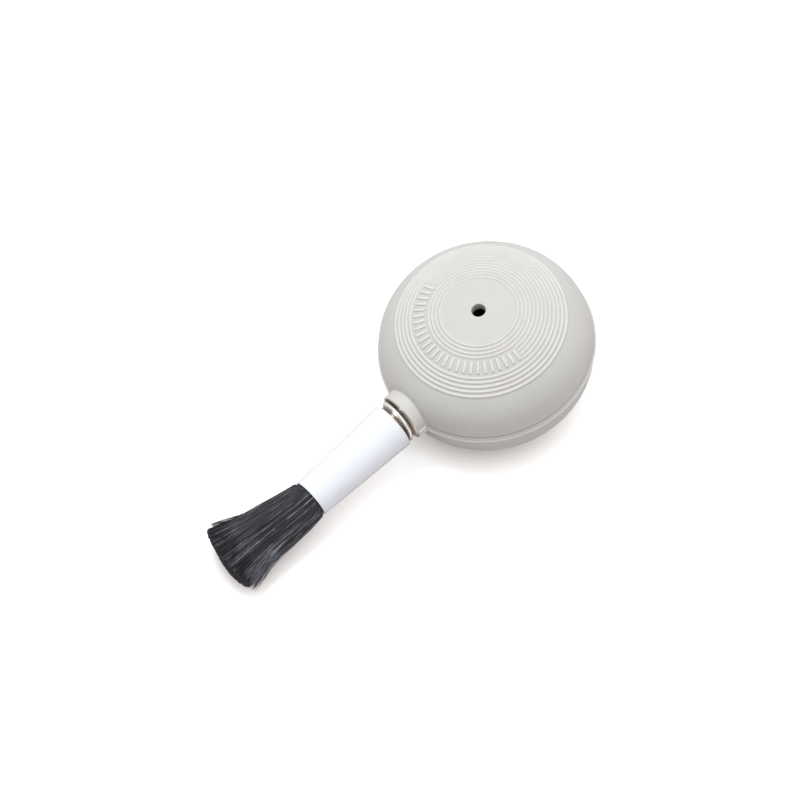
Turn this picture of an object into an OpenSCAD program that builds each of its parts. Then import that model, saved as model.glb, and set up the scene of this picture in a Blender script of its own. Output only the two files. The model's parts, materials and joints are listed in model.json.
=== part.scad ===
// Dust blower bulb with a screw-in brush.
// A hollow rubber bulb, bonded from two halves, drives air down a threaded metal ferrule, a barrel
// and a fine tube into a tuft of hair. Z runs up the bulb's axis, the brush points along -X, and
// the origin is the centre of the flat that the bulb stands on.

/* [Bulb] */
// Diameter of the bulb round its flank, without the seam bead
bulb_d = 56.4; // [52:0.2:62]
// Height of the upper half above the seam
crown_h = 17.5; // [16:0.5:20]
// Depth of the lower half below the seam
base_h = 17.5; // [16:0.5:20]
// Roundness of the upper half, where 2 is an ellipse and more is squarer
crown_power = 2.3; // [2.1:0.1:2.6]
// Roundness of the lower half
base_power = 3; // [2.6:0.1:3.2]
// Radius of the flat that the bulb stands on
rest_flat_r = 10; // [8:0.5:12]
// Thickness of the rubber wall
bulb_wall = 2.2; // [1.8:0.1:2.6]
// How far the bead on the seam stands out
bead_out = 0.3; // [0.2:0.1:0.5]
// Width of the seam bead across both halves
bead_w = 1.6; // [1.2:0.2:2]

/* [Grip rings] */
// Number of raised rings on the upper half
ring_count = 13; // [9:1:14]
// Radius of the innermost ring
first_ring_r = 10.1; // [10:0.1:10.4]
// Distance from one ring to the next
ring_pitch = 1; // [0.9:0.02:1.04]
// Width of one ring at its foot
ring_w = 0.7; // [0.5:0.05:0.8]
// Height of one ring
ring_h = 0.35; // [0.2:0.05:0.5]

/* [Thumb pad] */
// Radius of the thick pad in the middle of the upper half
pad_r = 9.3; // [8.5:0.1:9.4]
// Gap round the pad, which leaves it free to travel
pad_gap = 0.15; // [0.1:0.05:0.25]
// Thickness of the pad at its rim
pad_t = 2.6; // [2.2:0.1:3]
// Diameter of the intake hole
intake_d = 3.7; // [3:0.1:4.5]

/* [Neck] */
// Distance from the bulb's axis to the rim of the neck
neck_rim_x = 30.2; // [29.5:0.1:31]
// Outer radius of the neck
neck_r = 6.8; // [6.6:0.1:7.4]
// Radius that the neck flares to where it leaves the bulb
neck_flare_r = 8.4; // [8:0.1:9]
// Distance from the bulb's axis to the inner end of the neck
neck_inner_x = 22.5; // [21:0.5:23]

/* [Ferrule] */
// Radius of the ferrule at the bottom of its thread
thread_root_r = 5.2; // [5:0.1:5.3]
// Radius over the crest of the thread
thread_crest_r = 6.1; // [5.8:0.05:6.2]
// Distance that the thread advances in one turn
thread_pitch = 2.2; // [1.9:0.1:2.4]
// Radius of the air way through the ferrule
ferrule_bore_r = 4.6; // [4.2:0.1:4.7]
// Clearance between the thread crest and the bore of the neck
thread_clear = 0.05; // [0.03:0.01:0.1]
// Length of the plain skirt that is pressed into the barrel
skirt_l = 7; // [5:0.5:9]

/* [Barrel] */
// Gap from the neck's rim to the barrel's shoulder
barrel_gap = 3.1; // [2.9:0.1:3.5]
// Length of the barrel
barrel_l = 28.8; // [26:0.2:32]
// Outer radius of the barrel at the shoulder
barrel_r = 6.5; // [6.4:0.1:6.8]
// Outer radius of the barrel at the tip
barrel_tip_r = 5.4; // [5.3:0.1:5.8]
// Radius of the barrel's bore in the middle
barrel_bore_r = 4.2; // [3.8:0.1:4.4]
// Radius of the socket that holds the hair
hair_socket_r = 4.75; // [4.6:0.05:4.8]
// Depth of that socket
hair_socket_l = 10; // [9:0.5:12]

/* [Hair] */
// Length of hair outside the barrel
hair_l = 27.8; // [24:0.2:32]
// Half the width of the tuft at its cut end
hair_tip_half_w = 10; // [8:0.5:12]
// Half the depth of the tuft at its cut end
hair_tip_half_d = 5.3; // [4.5:0.1:6]
// How far the cut end leans to one side
hair_lean = 2.3; // [0:0.1:3]
// Outer radius of the tube that carries air through the hair
tube_r = 1.5; // [1.2:0.1:1.8]
// Inner radius of that tube
tube_bore_r = 0.9; // [0.6:0.1:1]

/* [Hidden] */
$fn = 72;

rubber_grey = [0.73, 0.72, 0.70];
nickel = [0.80, 0.78, 0.75];
barrel_white = [0.94, 0.94, 0.96];
hair_blue_black = [0.09, 0.10, 0.13];
resin_amber = [0.62, 0.48, 0.25];
thread_tan = [0.72, 0.66, 0.52];
tube_steel = [0.66, 0.67, 0.69];

bulb_r = bulb_d / 2;
seam_z = base_h;
overrun = 1;
big = bulb_d + 20;

// Distances along the brush, from the bulb's axis
ferrule_start = neck_rim_x - 6.2;
shoulder_x = neck_rim_x + barrel_gap;
skirt_end = shoulder_x + skirt_l;
barrel_end = shoulder_x + barrel_l;
socket_start = barrel_end - hair_socket_l;
resin_l = 4.5;
hair_start = socket_start + resin_l;
hair_end = barrel_end + hair_l;
tube_start = socket_start - 3;
tube_end = barrel_end + 8;

thread_start = ferrule_start + 0.8;
thread_end = shoulder_x + 1.6;
thread_fade = 0.8;
// The crest crosses the top of the ferrule at this distance, which sets where the thread starts
thread_mark = neck_rim_x + 1.25;
thread_relief_l = 1.9;
thread_sides = 30;
thread_rows_a_turn = 8;

profile_steps = 9;
binding_turns = 4;
binding_r = 0.24;
binding_step = 2 * binding_r + 0.04;
hair_sides = 28;
hair_rings = 12;
hair_end_rings = 3;
hair_end_bulge = 2.4;
hair_waist_r = 4.15;
hair_splay = 0.55;
fit_gap = 0.05;

// Radius and height of a point on a superellipse, at angle a above the seam
function oval_point(radius, height, power, a) =
    [radius * pow(cos(a), 2 / power), height * pow(sin(a), 2 / power)];

// Height of a superellipse at distance r from the axis
function oval_height(r, radius, height, power) =
    height * pow(1 - pow(r / radius, power), 1 / power);

// Angle at which a superellipse reaches distance r from the axis
function oval_angle(r, radius, power) = acos(pow(r / radius, power / 2));

function crown_z(r) = oval_height(r, bulb_r, crown_h, crown_power);

// The four corners of one grip ring
function ring_points(r) = [
    [r - ring_w / 2, crown_z(r - ring_w / 2)],
    [r - ring_w / 5, crown_z(r - ring_w / 5) + ring_h],
    [r + ring_w / 5, crown_z(r + ring_w / 5) + ring_h],
    [r + ring_w / 2, crown_z(r + ring_w / 2)]
];

last_ring_r = first_ring_r + (ring_count - 1) * ring_pitch + ring_w / 2;
flank_angle = oval_angle(last_ring_r + ring_w, bulb_r, crown_power);
bead_angle = 4;
rest_angle = oval_angle(rest_flat_r, bulb_r, base_power);
// The lower oval is a little deeper than the bulb, so that the flat cuts it off at radius rest_flat_r
base_oval_h = base_h / pow(1 - pow(rest_flat_r / bulb_r, base_power), 1 / base_power);

crown_profile = concat(
    [[0, 0], [0, crown_h]],
    [for (i = [1:3]) oval_point(bulb_r, crown_h, crown_power, 90 - 6 * i)],
    [for (i = [0:ring_count - 1]) each ring_points(first_ring_r + i * ring_pitch)],
    [for (i = [0:profile_steps])
        oval_point(bulb_r, crown_h, crown_power,
                   flank_angle + (bead_angle - flank_angle) * i / profile_steps)],
    [[bulb_r + bead_out * 0.4, bead_w / 2], [bulb_r + bead_out, bead_w / 3], [bulb_r + bead_out, 0]]
);

base_profile = concat(
    [[0, 0], [bulb_r + bead_out, 0], [bulb_r + bead_out, -bead_w / 3],
     [bulb_r + bead_out * 0.4, -bead_w / 2]],
    [for (i = [0:profile_steps])
        let (p = oval_point(bulb_r, base_oval_h, base_power,
                            bead_angle + (rest_angle - bead_angle) * i / profile_steps))
        [p[0], -p[1]]],
    [[0, -base_h]]
);

// Solid inside of one half of the bulb; up is 1 for the upper half and -1 for the lower
module cavity(height, power, up) {
    inner_r = bulb_r - bulb_wall;
    inner_h = height - bulb_wall;
    rotate_extrude()
        polygon(concat(
            [[0, -up * overrun], [inner_r, -up * overrun]],
            [for (i = [0:profile_steps - 1])
                let (p = oval_point(inner_r, inner_h, power, 90 * i / profile_steps))
                [p[0], up * p[1]]],
            [[0, up * inner_h]]
        ));
}

// Places its children, drawn round +Z, along the brush, where their +X points up
module along_brush() {
    translate([0, 0, seam_z])
        rotate([0, -90, 0])
            children();
}

// Straight round bar along the brush from one distance to another
module bar(r, from, to) {
    translate([0, 0, from])
        cylinder(r = r, h = to - from);
}

module neck_blank() {
    along_brush()
        rotate_extrude()
            polygon([
                [0, neck_inner_x],
                [neck_flare_r, neck_inner_x],
                [neck_flare_r, bulb_r - 2.2],
                [neck_flare_r - 0.7, bulb_r - 1.2],
                [neck_r + 0.25, bulb_r - 0.1],
                [neck_r, bulb_r + 0.8],
                [neck_r, neck_rim_x - 0.3],
                [neck_r - 0.3, neck_rim_x],
                [0, neck_rim_x]
            ]);
    for (side = [-1, 1])
        translate([-neck_rim_x + 0.3, side * (neck_r - 0.1) - 0.35, seam_z - bead_w / 3])
            cube([3.2, 0.7, bead_w * 2 / 3]);
}

module neck_bore() {
    along_brush()
        bar(thread_crest_r + thread_clear, neck_inner_x - overrun, neck_rim_x + overrun);
}

// Block that covers everything on one side of the seam
module side_of_seam(up) {
    translate([-big / 2, -big / 2, up > 0 ? seam_z : seam_z - big])
        cube([big, big, big]);
}

module bulb_lower() {
    color(rubber_grey)
        difference() {
            union() {
                translate([0, 0, seam_z])
                    difference() {
                        rotate_extrude() polygon(base_profile);
                        cavity(base_h, base_power, -1);
                    }
                intersection() {
                    neck_blank();
                    side_of_seam(-1);
                }
            }
            neck_bore();
        }
}

module bulb_upper() {
    color(rubber_grey)
        difference() {
            union() {
                translate([0, 0, seam_z])
                    difference() {
                        rotate_extrude() polygon(crown_profile);
                        cavity(crown_h, crown_power, 1);
                        cylinder(r = pad_r + pad_gap, h = crown_h + overrun);
                    }
                intersection() {
                    neck_blank();
                    side_of_seam(1);
                }
            }
            neck_bore();
        }
}

module thumb_pad() {
    edge = 0.35;
    color(rubber_grey)
        translate([0, 0, seam_z])
            difference() {
                rotate_extrude()
                    polygon(concat(
                        [[0, crown_z(pad_r) - pad_t], [pad_r, crown_z(pad_r) - pad_t]],
                        [for (i = [0:4]) let (r = pad_r * (1 - i / 4)) [r, crown_z(r)]]
                    ));
                cylinder(d = intake_d, h = crown_h + overrun);
                translate([0, 0, crown_z(intake_d / 2) - edge])
                    cylinder(d1 = intake_d, d2 = intake_d + 2 * edge + 0.4, h = edge + 0.2);
            }
}

// Share of the full thread height at distance z, which dies away at both ends of the thread
function thread_share(z) =
    max(0, min(1, (z - thread_start) / thread_fade, (thread_end - z) / thread_fade));

// Radius of the rolled wall at distance z, at angle a round the ferrule; the thread is left-handed
function thread_r(z, a) =
    thread_root_r + (thread_crest_r - thread_root_r) * thread_share(z)
    * (1 + cos(360 * (z - thread_mark) / thread_pitch + a)) / 2;

module ferrule() {
    rows = ceil((thread_end - thread_start) / thread_pitch * thread_rows_a_turn);
    zs = concat(
        [ferrule_start],
        [for (i = [0:rows]) thread_start + (thread_end - thread_start) * i / rows],
        [skirt_end]
    );
    outside = [
        for (z = zs, j = [0:thread_sides - 1])
            let (a = 360 * j / thread_sides, r = thread_r(z, a))
            [r * cos(a), r * sin(a), z]
    ];
    inside = [
        for (z = [skirt_end, ferrule_start], j = [0:thread_sides - 1])
            let (a = 360 * j / thread_sides)
            [ferrule_bore_r * cos(a), ferrule_bore_r * sin(a), z]
    ];
    rings = len(zs) + 2;
    faces = [
        for (i = [0:rings - 1], j = [0:thread_sides - 1])
            let (
                next_i = (i + 1) % rings,
                next_j = (j + 1) % thread_sides,
                low = i * thread_sides,
                high = next_i * thread_sides
            )
            each [[low + j, high + next_j, low + next_j], [low + j, high + j, high + next_j]]
    ];
    color(nickel)
        along_brush()
            polyhedron(points = concat(outside, inside), faces = faces, convexity = 8);
}

module barrel() {
    edge = 0.35;
    color(barrel_white)
        along_brush()
            rotate_extrude()
                polygon([
                    [thread_crest_r + fit_gap, shoulder_x],
                    [barrel_r - edge / 2, shoulder_x],
                    [barrel_r, shoulder_x + edge],
                    [barrel_tip_r, barrel_end - edge],
                    [barrel_tip_r - edge, barrel_end],
                    [hair_socket_r, barrel_end],
                    [hair_socket_r, socket_start],
                    [barrel_bore_r, socket_start],
                    [barrel_bore_r, skirt_end],
                    [thread_root_r, skirt_end],
                    [thread_root_r, shoulder_x + thread_relief_l],
                    [thread_crest_r + fit_gap, shoulder_x + thread_relief_l]
                ]);
}

module air_tube() {
    color(tube_steel)
        along_brush()
            difference() {
                bar(tube_r, tube_start, tube_end);
                bar(tube_bore_r, tube_start - overrun, tube_end + overrun);
            }
}

module root_resin() {
    color(resin_amber)
        along_brush()
            difference() {
                bar(hair_socket_r, socket_start, hair_start);
                bar(tube_r + fit_gap, socket_start - overrun, hair_start + overrun);
            }
}

module tuft_binding() {
    color(thread_tan)
        along_brush()
            for (i = [0:binding_turns - 1])
                translate([0, 0, hair_start + 0.6 + i * binding_step])
                    rotate_extrude()
                        translate([hair_waist_r + fit_gap + binding_r, 0])
                            circle(r = binding_r, $fn = 24);
}

// Half width, half depth and lean of the tuft at s, from 0 at the barrel to 1 at the cut
function tuft_half_w(s) = barrel_tip_r + (hair_tip_half_w - barrel_tip_r) * pow(s, 0.9);
function tuft_half_d(s) = barrel_tip_r + (hair_tip_half_d - barrel_tip_r) * s + 0.25 * sin(180 * s);
function tuft_lean(s) = hair_lean * pow(s, 1.5);

// One ring round the tuft, at distance z, shrunk by k for the rounded end
function tuft_ring(s, z, k) = [
    for (j = [0:hair_sides - 1])
        let (a = 360 * j / hair_sides)
        [k * tuft_half_d(s) * cos(a), tuft_lean(s) + k * tuft_half_w(s) * sin(a), z]
];

// One round ring of radius r at distance z
function round_ring(r, z) = [
    for (j = [0:hair_sides - 1])
        let (a = 360 * j / hair_sides)
        [r * cos(a), r * sin(a), z]
];

module hair_tuft() {
    waist_end = hair_start + 0.9 + binding_turns * binding_step;
    straight_l = hair_l - hair_end_bulge - hair_splay;
    hole_r = tube_r + 2 * fit_gap;
    rings = concat(
        [
            round_ring(hole_r, tube_end + 2 * fit_gap),
            round_ring(hole_r, hair_start),
            round_ring(hair_waist_r, hair_start),
            round_ring(hair_waist_r, waist_end),
            round_ring(hair_socket_r - fit_gap, waist_end + 0.8),
            round_ring(hair_socket_r - fit_gap, barrel_end)
        ],
        [
            for (i = [0:hair_rings])
                let (s = i / hair_rings)
                tuft_ring(s, barrel_end + hair_splay + straight_l * s, 1)
        ],
        [
            for (i = [1:hair_end_rings])
                let (a = 84 * i / hair_end_rings)
                tuft_ring(1, hair_end - hair_end_bulge * (1 - sin(a)), cos(a))
        ]
    );
    last = (len(rings) - 1) * hair_sides;
    sides = [
        for (i = [0:len(rings) - 2], j = [0:hair_sides - 1])
            let (
                a = i * hair_sides + j,
                b = i * hair_sides + (j + 1) % hair_sides
            )
            each [[a, b + hair_sides, b], [a, a + hair_sides, b + hair_sides]]
    ];
    ends = [
        [for (j = [0:hair_sides - 1]) j],
        [for (j = [hair_sides - 1:-1:0]) last + j]
    ];
    color(hair_blue_black)
        along_brush()
            polyhedron(points = [for (ring = rings) each ring], faces = concat(sides, ends),
                       convexity = 6);
}

bulb_lower();
bulb_upper();
thumb_pad();
ferrule();
barrel();
air_tube();
root_resin();
tuft_binding();
hair_tuft();
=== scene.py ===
# Visual model of a dust blower bulb with a screw-in hair brush.
# The model is in metres; the shop sizes below are in millimetres and are turned into metres by MM.
import json
import math

import bpy
import numpy as np
from mathutils import Matrix, Vector

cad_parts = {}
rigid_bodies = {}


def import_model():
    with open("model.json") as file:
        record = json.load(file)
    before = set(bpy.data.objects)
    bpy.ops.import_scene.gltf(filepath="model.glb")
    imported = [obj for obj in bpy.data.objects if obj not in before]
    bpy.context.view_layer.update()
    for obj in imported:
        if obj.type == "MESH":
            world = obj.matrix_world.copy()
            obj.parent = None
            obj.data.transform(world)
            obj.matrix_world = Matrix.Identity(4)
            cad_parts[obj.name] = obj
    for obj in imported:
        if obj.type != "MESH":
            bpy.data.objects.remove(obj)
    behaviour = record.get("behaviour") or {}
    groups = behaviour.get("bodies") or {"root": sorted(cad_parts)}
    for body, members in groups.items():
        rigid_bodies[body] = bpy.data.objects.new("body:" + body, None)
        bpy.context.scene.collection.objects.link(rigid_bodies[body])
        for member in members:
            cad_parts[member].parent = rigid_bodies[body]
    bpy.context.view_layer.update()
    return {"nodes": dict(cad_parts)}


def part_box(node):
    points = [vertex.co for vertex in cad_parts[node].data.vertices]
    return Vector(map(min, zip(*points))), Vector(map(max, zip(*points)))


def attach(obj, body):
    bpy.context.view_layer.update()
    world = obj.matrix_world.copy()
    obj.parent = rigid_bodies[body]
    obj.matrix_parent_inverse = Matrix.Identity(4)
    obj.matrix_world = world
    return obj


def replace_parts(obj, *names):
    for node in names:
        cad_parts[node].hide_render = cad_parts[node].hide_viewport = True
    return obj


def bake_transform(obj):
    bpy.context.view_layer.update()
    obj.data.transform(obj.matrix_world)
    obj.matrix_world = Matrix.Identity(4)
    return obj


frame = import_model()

MM = 0.001
TAU = 2 * math.pi

# Places taken from the CAD nodes
SEAM_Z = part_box("bulb_lower")[1].z
CROWN_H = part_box("thumb_pad")[1].z - SEAM_Z
NECK_RIM_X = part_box("bulb_upper")[0].x
SHOULDER_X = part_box("barrel")[1].x
TIP_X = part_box("barrel")[0].x
BARREL_R = (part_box("barrel")[1].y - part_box("barrel")[0].y) / 2
FERRULE_IN_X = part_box("ferrule")[1].x
FERRULE_OUT_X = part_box("ferrule")[0].x
CREST_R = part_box("ferrule")[1].y
HAIR_END_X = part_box("hair_tuft")[0].x
HAIR_Y = (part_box("hair_tuft")[0].y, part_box("hair_tuft")[1].y)
HAIR_DEPTH = (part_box("hair_tuft")[1].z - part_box("hair_tuft")[0].z) / 2

# Rubber bulb
BULB_R = 28.2 * MM
CROWN_POWER = 2.3
BASE_POWER = 3
REST_FLAT_R = 10 * MM
WALL = 2.2 * MM
PAD_R = 9.3 * MM
PAD_T = 2.8 * MM
INTAKE_R = 1.85 * MM
NECK_R = 6.8 * MM
NECK_BORE_R = 6.18 * MM
BULB_STEPS = 224

# Moulded seam: where its bead, lip and groove lie above the seam, how wide and how deep they are,
# and the power that squares their round tops
SEAM_BEAD = (-0.55 * MM, 1.05 * MM, 0.55 * MM, 0.6)
SEAM_LIP = (0.25 * MM, 1.1 * MM, 0.22 * MM, 0.5)
SEAM_GROOVE = (0.95 * MM, 0.6 * MM, 0.40 * MM, 1)

# Value of the relief attribute on plain rubber, and the most that it may be; the rubber's colour reads
# it as painted shade in the grooves and a painted highlight on the rings and seam
PLAIN_RELIEF = 0.35
TOP_RELIEF = 1.3

# Grip rings and the plain grip bars that stand in the band between them
RING_COUNT = 13
RING_FIRST_R = 10.1 * MM
RING_PITCH = 1.0 * MM
RING_W = 0.84 * MM
RING_H = 0.34 * MM
BAND_RINGS = (4, 7)
BAND_START = math.radians(98)
BAND_END = math.radians(269)
BAR_COUNT = 26
BAR_L = 3.2 * MM
BAR_W = 0.78 * MM
BAR_H = 1.9 * RING_H
BAR_EDGE = 0.28 * BAR_W

# Ferrule and barrel
THREAD_PITCH = 2.2 * MM
THREAD_ROOT_R = 5.2 * MM
THREAD_MARK_X = NECK_RIM_X - 1.25 * MM
THREAD_FADE = 0.8 * MM
THREAD_IN_BARREL = 1.6 * MM
THREAD_ROUNDNESS = 0.95
FERRULE_BORE_R = 4.6 * MM
BARREL_TIP_R = 5.4 * MM
BARREL_BORE_R = 4.2 * MM
SOCKET_R = 4.75 * MM
SOCKET_L = 10 * MM
SKIRT_L = 7 * MM

# Hair: each layer's strands lie outside the given share of the tuft's radius
STRANDS_A_LAYER = 3000
LAYER_DEPTHS = (0.0, 0.70, 0.90)
CLUMPS = 340
STRAND_R = 0.105 * MM
ROOT_R = 5.3 * MM
MOUTH_R = 4.62 * MM
TUFT_DRAWN_IN = 0.85 * MM
TUFT_TRIM = 0.55 * MM
PATH_PLACES = (0, 0, 0.03, 0.2, 0.4, 0.6, 0.8, 1)

# Tones of the finishes, darker first
RUBBER_TONES = ((0.520, 0.513, 0.499), (0.552, 0.545, 0.532))
RUBBER_DUST = (0.42, 0.40, 0.38)
# Nickel from the thread bottoms out to the tops: painted shade at the bottoms, painted highlight on the
# tops
NICKEL_ROOT_SHADE = (0.20, 0.18, 0.16)
NICKEL_FLANK = (0.55, 0.51, 0.47)
NICKEL_CREST_HIGHLIGHT = (0.97, 0.93, 0.89)
PLASTIC_TONES = ((0.650, 0.668, 0.725), (0.690, 0.708, 0.762))
HAIR_TONES = ((0.004, 0.004, 0.006), (0.011, 0.012, 0.018), (0.066, 0.070, 0.096),
              (0.175, 0.178, 0.200))
STEEL_TONES = ((0.50, 0.51, 0.53), (0.66, 0.67, 0.69))
RESIN_TONES = ((0.36, 0.22, 0.07), (0.55, 0.38, 0.15))
BINDING_TONES = ((0.50, 0.43, 0.30), (0.70, 0.63, 0.48))
PAPER_TONES = ((0.57, 0.535, 0.52), (0.59, 0.555, 0.54))
# Glow of the paper: colour of its painted contact shadow, and of the open paper
PAPER_SHADE = (0.36, 0.32, 0.31)
PAPER_LIT = (0.98, 1, 1)

# Studio
FLOOR_SIZE = 6
FLOOR_GAP = 0.02 * MM
FLOOR_GLOW = 0.62
CONTACT_SHADOW = 9 * MM
WORLD_LIGHT = 0.84
LIGHT_AIM = (-0.02, 0, 0.015)

# Camera
CAM_AZIMUTH = math.radians(-27.06)
CAM_ELEVATION = math.radians(61.738)
CAM_ROLL = math.radians(-17.389)
CAM_DISTANCE = 627.12 * MM
CAM_AIM = Vector((-26.15 * MM, 5.83 * MM, SEAM_Z - 3.60 * MM))
CAM_LENS = 108


# ---------------------------------------------------------------- modelling helpers

def only(obj):
    """Makes obj the one selected and active object."""
    bpy.ops.object.select_all(action="DESELECT")
    obj.select_set(True)
    bpy.context.view_layer.objects.active = obj


def turned(name, outline, steps):
    """Draws an outline of (radius, height) points and spins it round +Z into a closed solid."""
    bpy.ops.object.select_all(action="DESELECT")
    bpy.ops.mesh.primitive_plane_add(size=MM, location=(0, 0, 0))
    obj = bpy.context.active_object
    obj.name = name
    bpy.ops.object.mode_set(mode="EDIT")
    bpy.ops.mesh.select_all(action="SELECT")
    bpy.ops.mesh.merge(type="CENTER")
    bpy.ops.transform.translate(value=(outline[0][0], 0, outline[0][1]))
    for (r0, z0), (r1, z1) in zip(outline, outline[1:]):
        bpy.ops.mesh.extrude_region_move(TRANSFORM_OT_translate={"value": (r1 - r0, 0, z1 - z0)})
    bpy.ops.mesh.select_all(action="SELECT")
    bpy.ops.mesh.remove_doubles(threshold=0.2e-6)
    bpy.ops.mesh.spin(steps=steps, angle=TAU, center=(0, 0, 0), axis=(0, 0, 1))
    bpy.ops.mesh.select_all(action="SELECT")
    bpy.ops.mesh.remove_doubles(threshold=1e-6)
    bpy.ops.mesh.normals_make_consistent(inside=False)
    bpy.ops.object.mode_set(mode="OBJECT")
    return obj


def closed(outline):
    """The outline with its first point repeated at the end."""
    return list(outline) + [outline[0]]


def arc(centre, radius, start, end, count):
    """Points on an arc, with the angles in degrees and measured from the outline's +radius."""
    points = []
    for i in range(count + 1):
        a = math.radians(start + (end - start) * i / count)
        points.append((centre[0] + radius * math.cos(a), centre[1] + radius * math.sin(a)))
    return points


def read_points(obj):
    co = np.zeros(len(obj.data.vertices) * 3)
    obj.data.vertices.foreach_get("co", co)
    return co.reshape(-1, 3)


def write_points(obj, co):
    obj.data.vertices.foreach_set("co", co.ravel())
    obj.data.update()


def lay_along_brush(obj):
    """Turns a piece drawn round +Z so that it runs along the brush, with its +X side up."""
    obj.data.transform(Matrix.Translation((0, 0, SEAM_Z)) @ Matrix.Rotation(-math.pi / 2, 4, "Y"))


def smooth(obj, degrees):
    """Smooth shading, with sharp edges where faces meet at more than the given angle."""
    only(obj)
    bpy.ops.object.shade_smooth_by_angle(angle=math.radians(degrees))


def join(objects, name):
    """Joins several meshes into the first one."""
    only(objects[0])
    for other in objects[1:]:
        other.select_set(True)
    if len(objects) > 1:
        bpy.ops.object.join()
    joined = bpy.context.active_object
    joined.name = name
    return joined


def cut_with(obj, tool):
    """Takes the tool's solid out of obj and throws the tool away."""
    cut = obj.modifiers.new("cut", "BOOLEAN")
    cut.operation = "DIFFERENCE"
    cut.solver = "EXACT"
    cut.object = tool
    only(obj)
    bpy.ops.object.modifier_apply(modifier=cut.name)
    bpy.data.objects.remove(tool)


def side_of_seam(obj, keep_top):
    """Cuts obj in two at the seam, keeps one side and closes the cut."""
    only(obj)
    bpy.ops.object.mode_set(mode="EDIT")
    bpy.ops.mesh.select_all(action="SELECT")
    bpy.ops.mesh.bisect(plane_co=(0, 0, SEAM_Z), plane_no=(0, 0, 1), use_fill=True,
                        clear_inner=keep_top, clear_outer=not keep_top, threshold=1e-7)
    bpy.ops.object.mode_set(mode="OBJECT")
    return obj


def add_attribute(obj, name, values):
    """Stores one number for each point, which the piece's material reads."""
    attribute = obj.data.attributes.new(name, "FLOAT", "POINT")
    attribute.data.foreach_set("value", np.asarray(values, np.float32))


def finish_piece(obj, material, body=None):
    """Gives the piece its material and, when a body is given, puts it on that body."""
    obj.data.materials.clear()
    obj.data.materials.append(material)
    if body:
        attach(obj, body)


# ---------------------------------------------------------------- shapes of the bulb

def oval_r(height, half_height, power):
    """Radius of the bulb at a height above or below the seam."""
    return BULB_R * (1 - min(1, abs(height) / half_height) ** power) ** (1 / power)


def oval_h(radius, half_height, power):
    """Height of the bulb above or below the seam at a distance from the axis."""
    return half_height * (1 - (radius / BULB_R) ** power) ** (1 / power)


def oval_normal(r, h, half_height, power):
    """Outward direction of the bulb's surface, as (radius, height)."""
    a = (abs(r) / BULB_R) ** (power - 1) / BULB_R
    b = (abs(h) / half_height) ** (power - 1) / half_height
    size = math.hypot(a, b)
    return a / size, b / size


def base_half_height():
    """The lower oval is deeper than the bulb, so that the flat cuts it off at REST_FLAT_R."""
    return SEAM_Z / (1 - (REST_FLAT_R / BULB_R) ** BASE_POWER) ** (1 / BASE_POWER)


def bump(x):
    """Round-topped bump, 1 in the middle and 0 at a distance of half or more."""
    return 0.5 + 0.5 * math.cos(TAU * x) if abs(x) < 0.5 else 0.0


def seam_relief(h):
    """How far the rubber stands out at height h above the seam: a bead under the seam, a lower lip
    over it, and a thin groove above the lip."""
    bead, lip, groove = (depth * bump((h - middle) / width) ** squaring
                         for middle, width, depth, squaring in (SEAM_BEAD, SEAM_LIP, SEAM_GROOVE))
    return max(bead, lip) - groove


def ring_heights():
    """(distance from the axis, height of relief) at every outline point of the grip rings, from
    the outermost ring inwards."""
    shares = (0.5, 0.36, 0.24, 0.12, 0, -0.12, -0.24, -0.36, -0.5)
    points = []
    for k in range(RING_COUNT - 1, -1, -1):
        centre = RING_FIRST_R + k * RING_PITCH
        for share in shares:
            points.append((centre + share * RING_W, RING_H * bump(share)))
    return points


def crown_outline():
    """Outline of the upper half: seam, flank, grip rings and pad, then the hole and the inner wall."""
    points = []
    seam_rows = 26
    top_row = 1.7 * MM
    for i in range(seam_rows + 1):
        h = top_row * i / seam_rows
        points.append((oval_r(h, CROWN_H, CROWN_POWER) + seam_relief(h), h))
    rings = ring_heights()
    outer_angle = math.acos((rings[0][0] / BULB_R) ** (CROWN_POWER / 2))
    start_angle = math.asin((top_row / CROWN_H) ** (CROWN_POWER / 2))
    flank_rows = 26
    for i in range(1, flank_rows):
        a = start_angle + (outer_angle - start_angle) * i / flank_rows
        points.append((BULB_R * math.cos(a) ** (2 / CROWN_POWER),
                       CROWN_H * math.sin(a) ** (2 / CROWN_POWER)))
    for r, relief in rings:
        h = oval_h(r, CROWN_H, CROWN_POWER)
        nr, nh = oval_normal(r, h, CROWN_H, CROWN_POWER)
        points.append((r + relief * nr, h + relief * nh))
    edge = 0.17 * MM
    pad_rows = 8
    pad_start = rings[-1][0]
    for i in range(1, pad_rows):
        r = pad_start + (INTAKE_R + edge - pad_start) * i / pad_rows
        points.append((r, oval_h(r, CROWN_H, CROWN_POWER)))
    lip_h = oval_h(INTAKE_R + edge, CROWN_H, CROWN_POWER)
    points += arc((INTAKE_R + edge, lip_h - edge), edge, 90, 180, 5)
    under = CROWN_H - PAD_T
    pad_slope = 1.5 * MM
    points += arc((INTAKE_R + edge, under + edge), edge, 180, 270, 3)
    points.append((PAD_R - pad_slope, under))
    inner_r = BULB_R - WALL
    inner_h = CROWN_H - WALL
    inner_top = 72
    inner_rows = 22
    for i in range(inner_rows + 1):
        a = math.radians(inner_top * (1 - i / inner_rows))
        points.append((inner_r * math.cos(a) ** (2 / CROWN_POWER),
                       inner_h * math.sin(a) ** (2 / CROWN_POWER)))
    return closed(points)


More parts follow.
